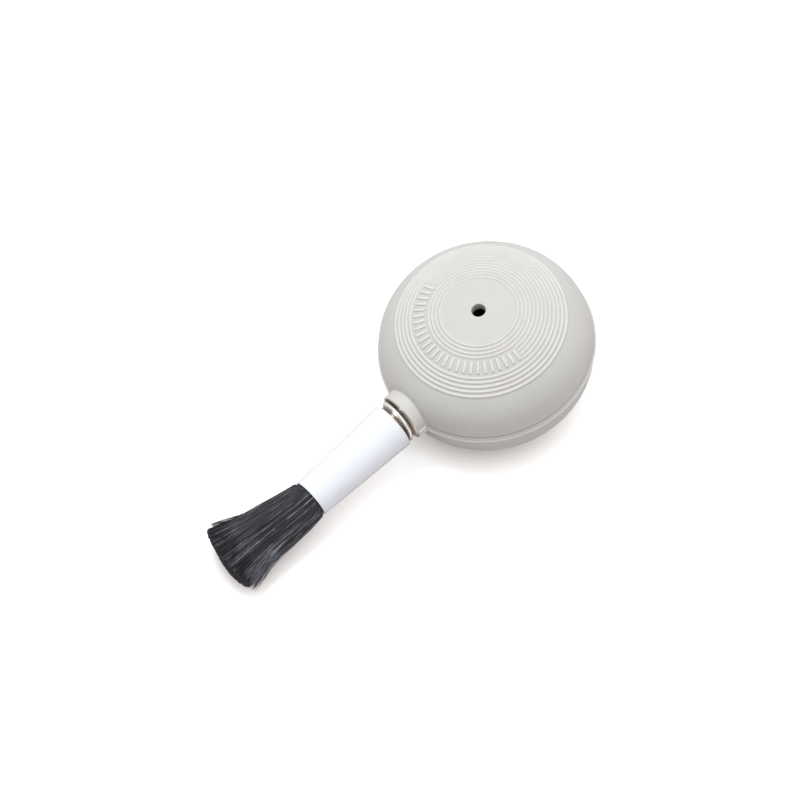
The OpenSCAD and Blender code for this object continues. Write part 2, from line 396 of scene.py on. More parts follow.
def base_outline():
    """Outline of the lower half: seam, flank, the flat that it stands on, and the inner wall."""
    half = base_half_height()
    points = []
    seam_rows = 24
    low_row = 1.5 * MM
    for i in range(seam_rows + 1):
        h = low_row * i / seam_rows
        points.append((oval_r(h, half, BASE_POWER) + seam_relief(-h), -h))
    start_angle = math.asin((low_row / half) ** (BASE_POWER / 2))
    foot_round = 0.9 * MM
    edge_r = REST_FLAT_R + foot_round
    end_angle = math.acos((edge_r / BULB_R) ** (BASE_POWER / 2))
    flank_rows = 40
    for i in range(1, flank_rows + 1):
        a = start_angle + (end_angle - start_angle) * i / flank_rows
        points.append((BULB_R * math.cos(a) ** (2 / BASE_POWER),
                       -half * math.sin(a) ** (2 / BASE_POWER)))
    rise = points[flank_rows + seam_rows][1] + SEAM_Z
    foot_power = 2.2
    for share in (0.75, 0.5, 0.25, 0):
        r = REST_FLAT_R + foot_round * (2 * share - 1)
        points.append((r, -SEAM_Z + rise * share ** foot_power))
    dish_r = 3.2 * MM
    dish_step = 0.3 * MM
    dish = 0.25 * MM
    points += [(dish_r, -SEAM_Z), (dish_r - dish_step, -SEAM_Z + dish * 0.3),
               (dish_r - 2 * dish_step, -SEAM_Z + dish), (0, -SEAM_Z + dish)]
    inner_r = BULB_R - WALL
    inner_h = SEAM_Z - WALL
    inner_rows = 26
    for i in range(inner_rows + 1):
        a = math.radians(90 * (1 - i / inner_rows))
        points.append((inner_r * max(0, math.cos(a)) ** (2 / BASE_POWER),
                       -inner_h * math.sin(a) ** (2 / BASE_POWER)))
    return closed(points)


def clear_ring_band(obj):
    """Sinks the middle rings level with the rubber round the side that carries the grip bars."""
    tiny = 1e-9
    co = read_points(obj)
    h = co[:, 2]
    r = np.hypot(co[:, 0], co[:, 1])
    azimuth = np.mod(np.arctan2(co[:, 1], co[:, 0]), TAU)
    level = (r / BULB_R) ** CROWN_POWER + (np.maximum(h, 0) / CROWN_H) ** CROWN_POWER - 1
    grad_r = CROWN_POWER * (r / BULB_R) ** (CROWN_POWER - 1) / BULB_R
    grad_h = CROWN_POWER * (np.maximum(h, 0) / CROWN_H) ** (CROWN_POWER - 1) / CROWN_H
    steep = np.hypot(grad_r, grad_h) + tiny
    proud = level / steep
    first = RING_FIRST_R + (BAND_RINGS[0] - 0.5) * RING_PITCH
    last = RING_FIRST_R + (BAND_RINGS[1] + 0.5) * RING_PITCH
    fade = math.radians(2.5)
    share = np.clip((azimuth - BAND_START) / fade, 0, 1)
    share *= np.clip((BAND_END - azimuth) / fade, 0, 1)
    base_r = r - proud * grad_r / steep
    on_top = (proud > 0) & (base_r > first) & (base_r < last)
    move = np.where(on_top, share * proud, 0)
    co[:, 0] -= move * grad_r / steep * co[:, 0] / np.maximum(r, tiny)
    co[:, 1] -= move * grad_r / steep * co[:, 1] / np.maximum(r, tiny)
    co[:, 2] -= move * grad_h / steep
    write_points(obj, co)


def flank_x(y, h):
    """Where the bulb's side lies at (y, height above the seam), on the side the neck is on."""
    half = CROWN_H if h > 0 else base_half_height()
    power = CROWN_POWER if h > 0 else BASE_POWER
    return -math.sqrt(max(0, oval_r(h, half, power) ** 2 - y * y))


def neck_collar(name, keep_top):
    """The neck, turned as a collar on a flat plate and then seated on the side of the bulb."""
    plate_x = -27.1 * MM
    rim = plate_x - NECK_RIM_X
    mouth = 0.15 * MM
    edge = 0.3 * MM
    fillet = 0.42 * MM
    flange_r = NECK_R + fillet + 0.5 * MM
    sunk = -0.03 * MM
    flange_back = -1.2 * MM
    boss_r = NECK_R + 0.4 * MM
    boss_front = -1.6 * MM
    boss_back = -4.5 * MM
    steps = 288
    outline = [(NECK_BORE_R, boss_back), (NECK_BORE_R, rim - mouth), (NECK_BORE_R + mouth, rim)]
    outline += arc((NECK_R - edge, rim - edge), edge, 90, 0, 5)
    outline += [(NECK_R, rim * 0.62), (NECK_R, fillet + 0.1 * MM)]
    outline += arc((NECK_R + fillet, fillet), fillet, 180, 270, 7)
    outline += [(flange_r, sunk), (flange_r, flange_back), (boss_r, boss_front), (boss_r, boss_back)]
    obj = turned(name, closed(outline), steps)
    lay_along_brush(obj)
    straight_l = 0.7 * MM
    seam_end = 0.4 * MM
    co = read_points(obj)
    for i, (x, y, z) in enumerate(co):
        h = z - SEAM_Z
        lift = -x
        seated = flank_x(y, h) - lift
        straight = plate_x - lift
        share = min(1, max(0, (lift - fillet) / (rim - straight_l - fillet)))
        share = share * share * (3 - 2 * share)
        co[i, 0] = seated + (straight - seated) * share
        on_outside = math.hypot(y, h) > NECK_R - 0.06 * MM
        if on_outside and lift > -0.5 * MM:
            relief = seam_relief(h) * min(1, max(0, (rim - lift) / seam_end))
            foot = min(1, max(0, (fillet - lift) / fillet))
            co[i, 1] = y + math.copysign(relief * (1 - foot), y)
            co[i, 0] -= relief * foot
    write_points(obj, co)
    return side_of_seam(obj, keep_top)


def neck_hole():
    """Round bar through the side of the bulb, where the ferrule goes in."""
    clear = 0.04 * MM
    bpy.ops.object.select_all(action="DESELECT")
    bpy.ops.mesh.primitive_cylinder_add(vertices=96, radius=NECK_BORE_R + clear, depth=14 * MM,
                                        location=(-27 * MM, 0, SEAM_Z), rotation=(0, math.pi / 2, 0))
    return bpy.context.active_object


def relief_values(obj, half_height, power, sign):
    """How proud the rubber stands at each point, for its colour: 0 in the grooves, PLAIN_RELIEF on
    plain skin, 1 on the rings and up to TOP_RELIEF on the seam, which the material turns into painted
    shade in the grooves and a painted highlight on the rings and the seam. It falls off close round the
    neck as painted shade, and the neck itself stays below the rings so that it gets no painted
    highlight."""
    neck_crease_shade_w = 1.8 * MM
    seam_half = 1.3 * MM
    on_neck = 0.05 * MM
    neck_most = 0.6
    co = read_points(obj)
    h = np.maximum(sign * (co[:, 2] - SEAM_Z), 0)
    r = np.hypot(co[:, 0], co[:, 1])
    level = (r / BULB_R) ** power + (h / half_height) ** power - 1
    grad_r = power * (r / BULB_R) ** (power - 1) / BULB_R
    grad_h = power * (h / half_height) ** (power - 1) / half_height
    proud = level / (np.hypot(grad_r, grad_h) + 1e-9)
    values = np.clip(PLAIN_RELIEF + proud / RING_H * (1 - PLAIN_RELIEF), 0, TOP_RELIEF)
    from_neck = np.hypot(co[:, 1], co[:, 2] - SEAM_Z) - NECK_R
    off_seam = (co[:, 0] < -0.6 * BULB_R) & (h > seam_half)
    # Painted shade: the rubber's colour darkens close round the neck
    neck_crease_shade = np.clip(from_neck / neck_crease_shade_w, 0, 1)
    values = np.where(off_seam & (from_neck > on_neck), values * neck_crease_shade, values)
    return np.where(off_seam & (from_neck <= on_neck), np.minimum(values, neck_most), values)


def bulb_crown(rubber):
    """Upper half of the bulb in one skin, from the seam to the intake hole."""
    dome = turned("bulb_crown", crown_outline(), BULB_STEPS)
    clear_ring_band(dome)
    dome.data.transform(Matrix.Translation((0, 0, SEAM_Z)))
    cut_with(dome, neck_hole())
    collar = neck_collar("neck_top", True)
    crown = join([dome, collar], "bulb_crown")
    add_attribute(crown, "relief", relief_values(crown, CROWN_H, CROWN_POWER, 1))
    smooth(crown, 50)
    finish_piece(crown, rubber)
    press_blend(crown)
    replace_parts(crown, "bulb_upper", "thumb_pad")


def press_blend(obj):
    """Bakes the piece's placement into its mesh."""
    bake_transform(obj)


def bulb_base(rubber):
    """Lower half of the bulb, with the lower half of the neck."""
    dome = turned("bulb_base", base_outline(), BULB_STEPS)
    dome.data.transform(Matrix.Translation((0, 0, SEAM_Z)))
    cut_with(dome, neck_hole())
    collar = neck_collar("neck_base", False)
    base = join([dome, collar], "bulb_base")
    add_attribute(base, "relief", relief_values(base, base_half_height(), BASE_POWER, -1))
    smooth(base, 50)
    finish_piece(base, rubber, "bulb")
    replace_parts(base, "bulb_lower")
    return base


def grip_bars(rubber):
    """A row of plain raised bars round the neck side of the crown."""
    middle_r = RING_FIRST_R + (BAND_RINGS[0] + BAND_RINGS[1]) / 2 * RING_PITCH
    h = oval_h(middle_r, CROWN_H, CROWN_POWER)
    nr, nh = oval_normal(middle_r, h, CROWN_H, CROWN_POWER)
    slope = math.atan2(nr, nh)
    bpy.ops.object.select_all(action="DESELECT")
    bpy.ops.mesh.primitive_cube_add(size=1, location=(0, 0, 0))
    first = bpy.context.active_object
    first.data.transform(Matrix.Diagonal((BAR_L, BAR_W, BAR_H, 1)))
    bpy.ops.object.mode_set(mode="EDIT")
    bpy.ops.mesh.select_all(action="SELECT")
    bpy.ops.mesh.bevel(offset=BAR_EDGE, segments=3, affect="EDGES")
    bpy.ops.object.mode_set(mode="OBJECT")
    first.data.transform(Matrix.Translation((middle_r, 0, h)) @ Matrix.Rotation(slope, 4, "Y"))
    bars = []
    margin = math.radians(5)
    # Relief value for the bars' colour, near a ring's, so that they get the rings' painted highlight
    bar_highlight_value = 0.9
    for i in range(BAR_COUNT):
        a = BAND_START + margin + (BAND_END - BAND_START - 2 * margin) * i / (BAR_COUNT - 1)
        bar = first.copy()
        bar.data = first.data.copy()
        bpy.context.scene.collection.objects.link(bar)
        bar.data.transform(Matrix.Translation((0, 0, SEAM_Z)) @ Matrix.Rotation(a, 4, "Z"))
        bars.append(bar)
    bpy.data.objects.remove(first)
    row = join(bars, "grip_bars")
    add_attribute(row, "relief", np.full(len(row.data.vertices), bar_highlight_value))
    smooth(row, 50)
    finish_piece(row, rubber)
    press_blend(row)


# ---------------------------------------------------------------- ferrule and barrel

def thread_radius(d, a):
    """Radius of the rolled wall at distance d along the brush and angle a round it."""
    start = -FERRULE_IN_X + THREAD_FADE
    end = -SHOULDER_X + THREAD_IN_BARREL
    share = min(1, max(0, min((d - start) / THREAD_FADE, (end - d) / THREAD_FADE)))
    wave = (1 + math.cos(TAU * (d + THREAD_MARK_X) / THREAD_PITCH + a)) / 2
    return THREAD_ROOT_R + (CREST_R - THREAD_ROOT_R) * share * wave ** THREAD_ROUNDNESS


def ferrule(nickel):
    """Thin metal tube, turned plain and then rolled out into a round left-handed thread."""
    inner = -FERRULE_IN_X
    outer = -FERRULE_OUT_X
    rows = 150
    outline = [(THREAD_ROOT_R, inner + (outer - inner) * i / rows) for i in range(rows + 1)]
    outline += [(FERRULE_BORE_R, outer), (FERRULE_BORE_R, inner)]
    obj = turned("ferrule_shell", closed(outline), 120)
    co = read_points(obj)
    for i, (x, y, z) in enumerate(co):
        r = math.hypot(x, y)
        if r > (THREAD_ROOT_R + FERRULE_BORE_R) / 2:
            scale = thread_radius(z, math.atan2(y, x)) / r
            co[i, 0] *= scale
            co[i, 1] *= scale
    write_points(obj, co)
    lay_along_brush(obj)
    smooth(obj, 60)
    finish_piece(obj, nickel, "brush")
    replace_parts(obj, "ferrule")


def barrel(plastic):
    """Tapered barrel, bored for the ferrule's skirt at one end and for the hair at the other."""
    shoulder = -SHOULDER_X
    tip = -TIP_X
    edge = 0.22 * MM
    chamfer = 0.05 * MM
    mouth = 0.12 * MM
    relief_r = CREST_R + 0.05 * MM
    relief_l = 1.9 * MM
    outline = [(relief_r, shoulder + chamfer), (relief_r + chamfer, shoulder)]
    outline += arc((BARREL_R - edge, shoulder + edge), edge, 270, 360, 6)
    taper_rows = 6
    for i in range(1, taper_rows):
        outline.append((BARREL_R + (BARREL_TIP_R - BARREL_R) * i / taper_rows,
                        shoulder + edge + (tip - shoulder - 2 * edge) * i / taper_rows))
    outline += arc((BARREL_TIP_R - edge, tip - edge), edge, 0, 90, 6)
    outline += [(SOCKET_R + mouth, tip), (SOCKET_R, tip - mouth),
                (SOCKET_R, tip - SOCKET_L), (BARREL_BORE_R, tip - SOCKET_L),
                (BARREL_BORE_R, shoulder + SKIRT_L), (THREAD_ROOT_R, shoulder + SKIRT_L),
                (THREAD_ROOT_R, shoulder + relief_l), (relief_r, shoulder + relief_l)]
    obj = turned("barrel_shell", closed(outline), 160)
    lay_along_brush(obj)
    smooth(obj, 35)
    finish_piece(obj, plastic, "brush")
    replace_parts(obj, "barrel")


# ---------------------------------------------------------------- hair

def tuft_section(s):
    """Half width, half depth and lean of the tuft at s, 0 at the barrel and 1 at the cut end."""
    half_w = (HAIR_Y[1] - HAIR_Y[0]) / 2 - TUFT_TRIM
    half_d = HAIR_DEPTH - 0.3 * MM
    belly = 0.35 * MM
    lean = (HAIR_Y[1] + HAIR_Y[0]) / 2 + TUFT_TRIM
    width = ROOT_R + (half_w - ROOT_R) * s ** 0.92 - TUFT_DRAWN_IN * math.sin(math.pi * s ** 1.5)
    depth = ROOT_R + (half_d - ROOT_R) * s + belly * math.sin(math.pi * s)
    return width, depth, lean * s ** 1.4


def cut_x(y):
    """Where the tuft is cut: a shallow curve across it, longest a little to the -Y side."""
    longest_y = -0.5 * MM
    curve = 0.018 / MM
    return HAIR_END_X - 0.1 * MM + curve * (y - longest_y) ** 2


def tuft_core(hair):
    """Solid heart of the tuft, which stops the light between the strands."""
    rings = 16
    fill = 0.84
    inside = 3 * MM
    short = 1.4 * MM
    round_from = 0.9
    outline = [(0, 0)] + [(MM, i / rings) for i in range(rings + 1)] + [(0, 1)]
    obj = turned("tuft_core", outline, 40)
    co = read_points(obj)
    for i, (x, y, z) in enumerate(co):
        s = max(0, z)
        width, depth, lean = tuft_section(s)
        root = min(1, MOUTH_R / ROOT_R + s * 3)
        end = 1 - 0.25 * max(0, (s - round_from) / (1 - round_from)) ** 2
        co[i, 0] = x / MM * depth * fill * root * end
        co[i, 1] = y / MM * width * fill * root * end + lean
        far = -cut_x(co[i, 1]) - short
        co[i, 2] = -TIP_X - inside + s * (far + TIP_X + inside)
    write_points(obj, co)
    lay_along_brush(obj)
    smooth(obj, 60)
    add_attribute(obj, "tone", np.zeros(len(obj.data.vertices)))
    finish_piece(obj, hair, "brush")
    return obj


def gather(rng, count, shell):
    """Where each strand starts and ends across the tuft, as shares of its half width and depth, and
    the clump that it leans to. No strand lies inside the share of the radius given by shell."""
    radius = np.sqrt(rng.uniform(shell ** 2, 1, count))
    angle = rng.uniform(0, TAU, count)
    root = np.stack((radius * np.sin(angle), radius * np.cos(angle)), axis=1)
    clump_angle = rng.uniform(0, TAU, CLUMPS)
    clump_radius = np.sqrt(rng.uniform(max(0.1, shell ** 2 - 0.1), 1, CLUMPS))
    clumps = np.stack((clump_radius * np.sin(clump_angle), clump_radius * np.cos(clump_angle)), axis=1)
    near = np.argmin(((root[:, None] - clumps) ** 2).sum(axis=2), axis=1)
    pull = rng.uniform(0.35, 0.9, count) * rng.uniform(0.5, 1, CLUMPS)[near]
    shift = rng.normal(0, 0.022, (CLUMPS, 2))[near]
    loose = rng.normal(0, 0.013, (count, 2))
    tip = root + (clumps[near] - root) * pull[:, None] + shift + loose
    edge = 1.03
    tip /= np.maximum(1, np.hypot(tip[:, 0], tip[:, 1]) / edge)[:, None]
    return root, tip, near


def strand_paths(rng, count, shell):
    """Centre lines of the strands as an array (strand, point, xyz), and each strand's clump."""
    root, tip, near = gather(rng, count, shell)
    along = np.array(PATH_PLACES)
    in_barrel = 2
    paths = np.zeros((count, len(along), 3))
    for k, t in enumerate(along):
        width, depth, lean = tuft_section(t)
        if k < in_barrel:
            width = depth = MOUTH_R
        place = root + (tip - root) * t ** 0.8
        paths[:, k, 1] = place[:, 0] * width + lean
        paths[:, k, 2] = place[:, 1] * depth + SEAM_Z
    ragged = 0.32 * MM
    cut = np.array([cut_x(y) for y in paths[:, -1, 1]])
    cut += np.abs(rng.normal(0, ragged, CLUMPS))[near] + rng.exponential(ragged, count)
    mouth = TIP_X - 0.05 * MM
    for k, t in enumerate(along):
        paths[:, k, 0] = mouth + (cut - mouth) * t
    paths[:, 0, 0] = TIP_X + rng.uniform(1.0, 2.4, count) * MM
    sway = rng.normal(0, 0.1 * MM, (CLUMPS, 2))[near] + rng.normal(0, 0.13 * MM, (count, 2))
    wave = np.sin(math.pi * along[in_barrel:-1] * 1.3)
    paths[:, in_barrel:-1, 1] += sway[:, :1] * wave
    paths[:, in_barrel:-1, 2] += sway[:, 1:] * wave
    return paths, near


def strands(name, paths, radius, tones, hair):
    """Three-sided hairs along the given paths, in one mesh, each tapered a little at its tip."""
    count, points, _ = paths.shape
    sides = 3
    along = np.gradient(paths, axis=1)
    along /= np.linalg.norm(along, axis=2, keepdims=True)
    up = np.cross(along, np.array([0, 1.0, 0.35]))
    up /= np.linalg.norm(up, axis=2, keepdims=True)
    across = np.cross(along, up)
    taper = np.linspace(1, 0.72, points)[None, :, None]
    rings = []
    for k in range(sides):
        a = TAU * k / sides
        offset = (up * math.cos(a) + across * math.sin(a)) * taper * radius[:, None, None]
        rings.append(paths + offset)
    co = np.stack(rings, axis=2).reshape(-1, 3)
    one = []
    for p in range(points - 1):
        for k in range(sides):
            a = p * sides + k
            b = p * sides + (k + 1) % sides
            one.append((a, b, b + sides, a + sides))
    first_point = np.arange(count)[:, None] * points * sides
    last = (points - 1) * sides
    quads = (np.array(one) + first_point[:, None]).reshape(-1, 4)
    caps = [np.array(corners) + first_point for corners in ((2, 1, 0), (last, last + 1, last + 2))]
    mesh = bpy.data.meshes.new(name)
    mesh.from_pydata(co.tolist(), [], quads.tolist() + np.concatenate(caps).tolist())
    obj = bpy.data.objects.new(name, mesh)
    bpy.context.scene.collection.objects.link(obj)
    only(obj)
    bpy.ops.object.mode_set(mode="EDIT")
    bpy.ops.mesh.select_all(action="SELECT")
    bpy.ops.mesh.normals_make_consistent(inside=False)
    bpy.ops.object.mode_set(mode="OBJECT")
    bpy.ops.object.shade_smooth()
    add_attribute(obj, "tone", np.repeat(tones, points * sides))
    finish_piece(obj, hair, "brush")


def hair_tuft(hair):
    """The solid heart, three layers of strands over it, and the strays at both edges."""
    rng = np.random.default_rng(11)
    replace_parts(tuft_core(hair), "hair_tuft")
    for layer, shell in enumerate(LAYER_DEPTHS):
        paths, clump = strand_paths(rng, STRANDS_A_LAYER, shell)
        clump_tone = rng.uniform(0, 1, CLUMPS) ** 1.6
        tones = 0.25 * clump_tone[clump] + 0.85 * rng.uniform(0, 1, STRANDS_A_LAYER) ** 2.8
        radius = STRAND_R * rng.uniform(0.7, 1.3, STRANDS_A_LAYER)
        strands(f"hair_layer_{layer + 1}", paths, radius, np.clip(tones, 0, 1), hair)
    stray_hairs(rng, "hair_strays_far", hair, side=1, count=110, spread=0.9 * MM, tone=0.1)
    stray_hairs(rng, "hair_strays_near", hair, side=-1, count=150, spread=1.9 * MM, tone=0.9)


def stray_hairs(rng, name, hair, side, count, spread, tone):
    """Loose hairs that stand off one edge of the tuft, most of them near the cut end."""
    paths, _ = strand_paths(rng, count * 4, 0.95)
    outward = side * (paths[:, -1, 1] - (HAIR_Y[0] + HAIR_Y[1]) / 2)
    paths = paths[np.argsort(-outward)[:count]]
    away = spread * rng.uniform(0, 1, count) ** 1.7
    lift = rng.normal(0, 0.5 * MM, count)
    curl = rng.normal(0, 0.35 * MM, count)
    shorter = rng.uniform(0, 2.2 * MM, count)
    points = paths.shape[1]
    for k in range(2, points):
        t = (k - 2) / (points - 3)
        paths[:, k, 1] += side * away * t ** 3 + curl * t ** 2 * math.sin(math.pi * t * 1.6)
        paths[:, k, 2] += lift * t ** 3
        paths[:, k, 0] += shorter * t
    tones = np.clip(rng.normal(tone, 0.12, count), 0, 1)
    strands(name, paths, np.full(count, STRAND_R * 0.6), tones, hair)


# ---------------------------------------------------------------- materials

def new_material(name):
    material = bpy.data.materials.new(name)
    material.use_nodes = True
    return material, material.node_tree.nodes, material.node_tree.links


def grain_group():
    """Shared surface grain: a value that varies over the surface and a bumped normal."""
    group = bpy.data.node_groups.new("surface_grain", "ShaderNodeTree")
    face = group.interface
    for name, kind, value in (("Scale", "NodeSocketFloat", 100.0), ("Depth", "NodeSocketFloat", 0.0001),
                              ("Strength", "NodeSocketFloat", 0.5)):
        socket = face.new_socket(name, in_out="INPUT", socket_type=kind)
        socket.default_value = value
    face.new_socket("Vector", in_out="INPUT", socket_type="NodeSocketVector")
    face.new_socket("Value", in_out="OUTPUT", socket_type="NodeSocketFloat")
    face.new_socket("Normal", in_out="OUTPUT", socket_type="NodeSocketVector")
    nodes = group.nodes
    links = group.links
    entry = nodes.new("NodeGroupInput")
    leave = nodes.new("NodeGroupOutput")
    noise = nodes.new("ShaderNodeTexNoise")
    noise.inputs["Detail"].default_value = 4
    bump_node = nodes.new("ShaderNodeBump")
    links.new(entry.outputs["Vector"], noise.inputs["Vector"])
    links.new(entry.outputs["Scale"], noise.inputs["Scale"])
    links.new(noise.outputs["Fac"], leave.inputs["Value"])
    links.new(noise.outputs["Fac"], bump_node.inputs["Height"])
    links.new(entry.outputs["Depth"], bump_node.inputs["Distance"])
    links.new(entry.outputs["Strength"], bump_node.inputs["Strength"])
    links.new(bump_node.outputs["Normal"], leave.inputs["Normal"])
    return group


def place_group(nodes, links, group, scale, depth, strength):
    """The shared grain in one material, and the object coordinates that it follows."""
    coordinates = nodes.new("ShaderNodeTexCoord")
    node = nodes.new("ShaderNodeGroup")
    node.node_tree = group
    node.inputs["Scale"].default_value = scale
    node.inputs["Depth"].default_value = depth
    node.inputs["Strength"].default_value = strength
    links.new(coordinates.outputs["Object"], node.inputs["Vector"])
    return node, coordinates


def ramp(nodes, links, source, stops):
    """Colours at the given places, chosen by the source's value."""
    node = nodes.new("ShaderNodeValToRGB")
    while len(node.color_ramp.elements) < len(stops):
        node.color_ramp.elements.new(0.5)
    for element, (place, colour) in zip(node.color_ramp.elements, stops):
        element.position = place
        element.color = (*colour, 1)
    links.new(source, node.inputs["Fac"])
    return node.outputs["Color"]


def two_tone(nodes, links, source, tones):
    """The darker tone where the source is low and the lighter one where it is high."""
    return ramp(nodes, links, source, ((0.3, tones[0]), (0.7, tones[1])))


def attribute(nodes, name):
    node = nodes.new("ShaderNodeAttribute")
    node.attribute_name = name
    return node.outputs["Fac"]


def noise_at(nodes, links, coordinates, scale, detail):
    noise = nodes.new("ShaderNodeTexNoise")
    noise.inputs["Scale"].default_value = scale
    noise.inputs["Detail"].default_value = detail
    links.new(coordinates.outputs["Object"], noise.inputs["Vector"])
    return noise.outputs["Fac"]


def map_value(nodes, links, source, given, wanted):
    """The source's value, turned from the given range (low, high) into the wanted one."""
    node = nodes.new("ShaderNodeMapRange")
    node.inputs["From Min"].default_value, node.inputs["From Max"].default_value = given
    node.inputs["To Min"].default_value, node.inputs["To Max"].default_value = wanted
    links.new(source, node.inputs["Value"])
    return node.outputs["Result"]


def mix_colour(nodes, links, mode, share, first, second):
    """Mixes two colours; share is a socket or a number, and so are the colours or sockets."""
    node = nodes.new("ShaderNodeMix")
    node.data_type = "RGBA"
    node.blend_type = mode
    for value, socket in ((share, node.inputs[0]), (first, node.inputs[6]), (second, node.inputs[7])):
        if isinstance(value, bpy.types.NodeSocket):
            links.new(value, socket)
        elif isinstance(value, tuple):
            socket.default_value = (*value, 1)
        else:
            socket.default_value = value
    return node.outputs[2]


def rubber_material(group):
    """Matt light grey rubber with a bloom, fine grain and dust, with painted shade in its grooves and a
    painted highlight on its rings, bars and seam.
    """
    material, nodes, links = new_material("moulded_rubber")
    shader = nodes["Principled BSDF"]
    grain, coordinates = place_group(nodes, links, group, scale=5200, depth=0.00003, strength=0.35)
    mottle = noise_at(nodes, links, coordinates, 90, 5)
    tone = two_tone(nodes, links, mottle, RUBBER_TONES)
    # Painted shade in the grooves and round the neck, painted highlight on the rings, bars and seam,
    # read from the relief attribute
    relief_shade_and_highlight = map_value(nodes, links, attribute(nodes, "relief"), (0, TOP_RELIEF), (0.76, 1.17))
    shaded = mix_colour(nodes, links, "MULTIPLY", 1.0, tone, relief_shade_and_highlight)
    specks = noise_at(nodes, links, coordinates, 1500, 2)
    dusty = map_value(nodes, links, specks, (0.68, 0.74), (0, 0.35))
    links.new(mix_colour(nodes, links, "MIX", dusty, shaded, RUBBER_DUST), shader.inputs["Base Color"])
    links.new(map_value(nodes, links, mottle, (0.3, 0.7), (0.56, 0.72)), shader.inputs["Roughness"])
    links.new(grain.outputs["Normal"], shader.inputs["Normal"])
    shader.inputs["Specular IOR Level"].default_value = 0.35
    shader.inputs["Sheen Weight"].default_value = 0.15
    shader.inputs["Sheen Roughness"].default_value = 0.5
    return material


def distance_from_brush_axis(nodes, links, coordinates):
    """How far a point lies from the line down the middle of the brush."""
    centred = nodes.new("ShaderNodeMapping")
    centred.inputs["Location"].default_value = (0, 0, -SEAM_Z)
    links.new(coordinates.outputs["Object"], centred.inputs["Vector"])
    flat = nodes.new("ShaderNodeVectorMath")
    flat.operation = "MULTIPLY"
    flat.inputs[1].default_value = (0, 1, 1)
    links.new(centred.outputs["Vector"], flat.inputs[0])
    length = nodes.new("ShaderNodeVectorMath")
    length.operation = "LENGTH"
    links.new(flat.outputs["Vector"], length.inputs[0])
    return length.outputs["Value"]


def nickel_material(group):
    """Bright nickel plate, with painted shade in the bottoms of the thread and a painted highlight on
    its tops.
    """
    material, nodes, links = new_material("nickel_plate")
    shader = nodes["Principled BSDF"]
    grain, coordinates = place_group(nodes, links, group, scale=2600, depth=0.00002, strength=0.10)
    out = distance_from_brush_axis(nodes, links, coordinates)
    crest = map_value(nodes, links, out, (THREAD_ROOT_R, CREST_R), (0, 1))
    # Painted shade in the thread bottoms and painted highlight on the thread tops
    tone = ramp(nodes, links, crest, ((0, NICKEL_ROOT_SHADE), (0.4, NICKEL_FLANK), (0.7, NICKEL_CREST_HIGHLIGHT)))
    links.new(tone, shader.inputs["Base Color"])
    rough = map_value(nodes, links, grain.outputs["Value"], (0.3, 0.7), (0.20, 0.34))
    links.new(rough, shader.inputs["Roughness"])
    links.new(grain.outputs["Normal"], shader.inputs["Normal"])
    shader.inputs["Metallic"].default_value = 1
    return material


def plastic_material(group):
    """Gloss white moulded plastic with a faint blue cast and soft handling marks."""
    material, nodes, links = new_material("gloss_white_plastic")
    shader = nodes["Principled BSDF"]
    grain, coordinates = place_group(nodes, links, group, scale=420, depth=0.00002, strength=0.07)
    cloud = noise_at(nodes, links, coordinates, 120, 4)
    links.new(two_tone(nodes, links, cloud, PLASTIC_TONES), shader.inputs["Base Color"])
    rough = map_value(nodes, links, grain.outputs["Value"], (0.3, 0.7), (0.16, 0.30))
    links.new(rough, shader.inputs["Roughness"])
    links.new(grain.outputs["Normal"], shader.inputs["Normal"])
    shader.inputs["Coat Weight"].default_value = 0.25
    shader.inputs["Coat Roughness"].default_value = 0.08
    return material


def hair_material():
    """Blue-black hair, each strand in its own tone and streaked along its length."""
    material, nodes, links = new_material("dark_hair")
    shader = nodes["Principled BSDF"]
    stops = tuple(zip((0, 0.35, 0.75, 1), HAIR_TONES))
    strand_tone = ramp(nodes, links, attribute(nodes, "tone"), stops)
    coordinates = nodes.new("ShaderNodeTexCoord")
    stretched = nodes.new("ShaderNodeMapping")
    stretched.inputs["Scale"].default_value = (0.2, 1, 1)
    links.new(coordinates.outputs["Object"], stretched.inputs["Vector"])
    streak = nodes.new("ShaderNodeTexNoise")
    streak.inputs["Scale"].default_value = 1600
    links.new(stretched.outputs["Vector"], streak.inputs["Vector"])
    dim = map_value(nodes, links, streak.outputs["Fac"], (0.35, 0.65), (0.25, 1.9))
    colour = mix_colour(nodes, links, "MULTIPLY", 1.0, strand_tone, dim)
    links.new(colour, shader.inputs["Base Color"])
    rough = map_value(nodes, links, streak.outputs["Fac"], (0.3, 0.7), (0.32, 0.5))
    links.new(rough, shader.inputs["Roughness"])
    shader.inputs["Specular IOR Level"].default_value = 0.6
    return material


def plain_material(group, name, tones, scale, roughness, metallic=0.0):
    """A simple two-tone finish for the pieces hidden inside."""
    material, nodes, links = new_material(name)
    shader = nodes["Principled BSDF"]
    grain, _ = place_group(nodes, links, group, scale, depth=0.00003, strength=0.3)
    links.new(two_tone(nodes, links, grain.outputs["Value"], tones), shader.inputs["Base Color"])
    rough = map_value(nodes, links, grain.outputs["Value"], (0.3, 0.7), (roughness, roughness + 0.15))
    links.new(rough, shader.inputs["Roughness"])
    links.new(grain.outputs["Normal"], shader.inputs["Normal"])
    shader.inputs["Metallic"].default_value = metallic
    return material


def dress_hidden_pieces(group):
    """The small CAD pieces inside the barrel keep their shape and get their finishes."""
    finishes = {
        "air_tube": plain_material(group, "drawn_steel", STEEL_TONES, 1800, 0.25, metallic=1.0),
        "root_resin": plain_material(group, "amber_resin", RESIN_TONES, 500, 0.2),
        "tuft_binding": plain_material(group, "waxed_thread", BINDING_TONES, 3500, 0.6),
    }
    for name, material in finishes.items():
        node = frame["nodes"][name]
        node.data.materials.clear()
        node.data.materials.append(material)


# ---------------------------------------------------------------- floor, light and camera

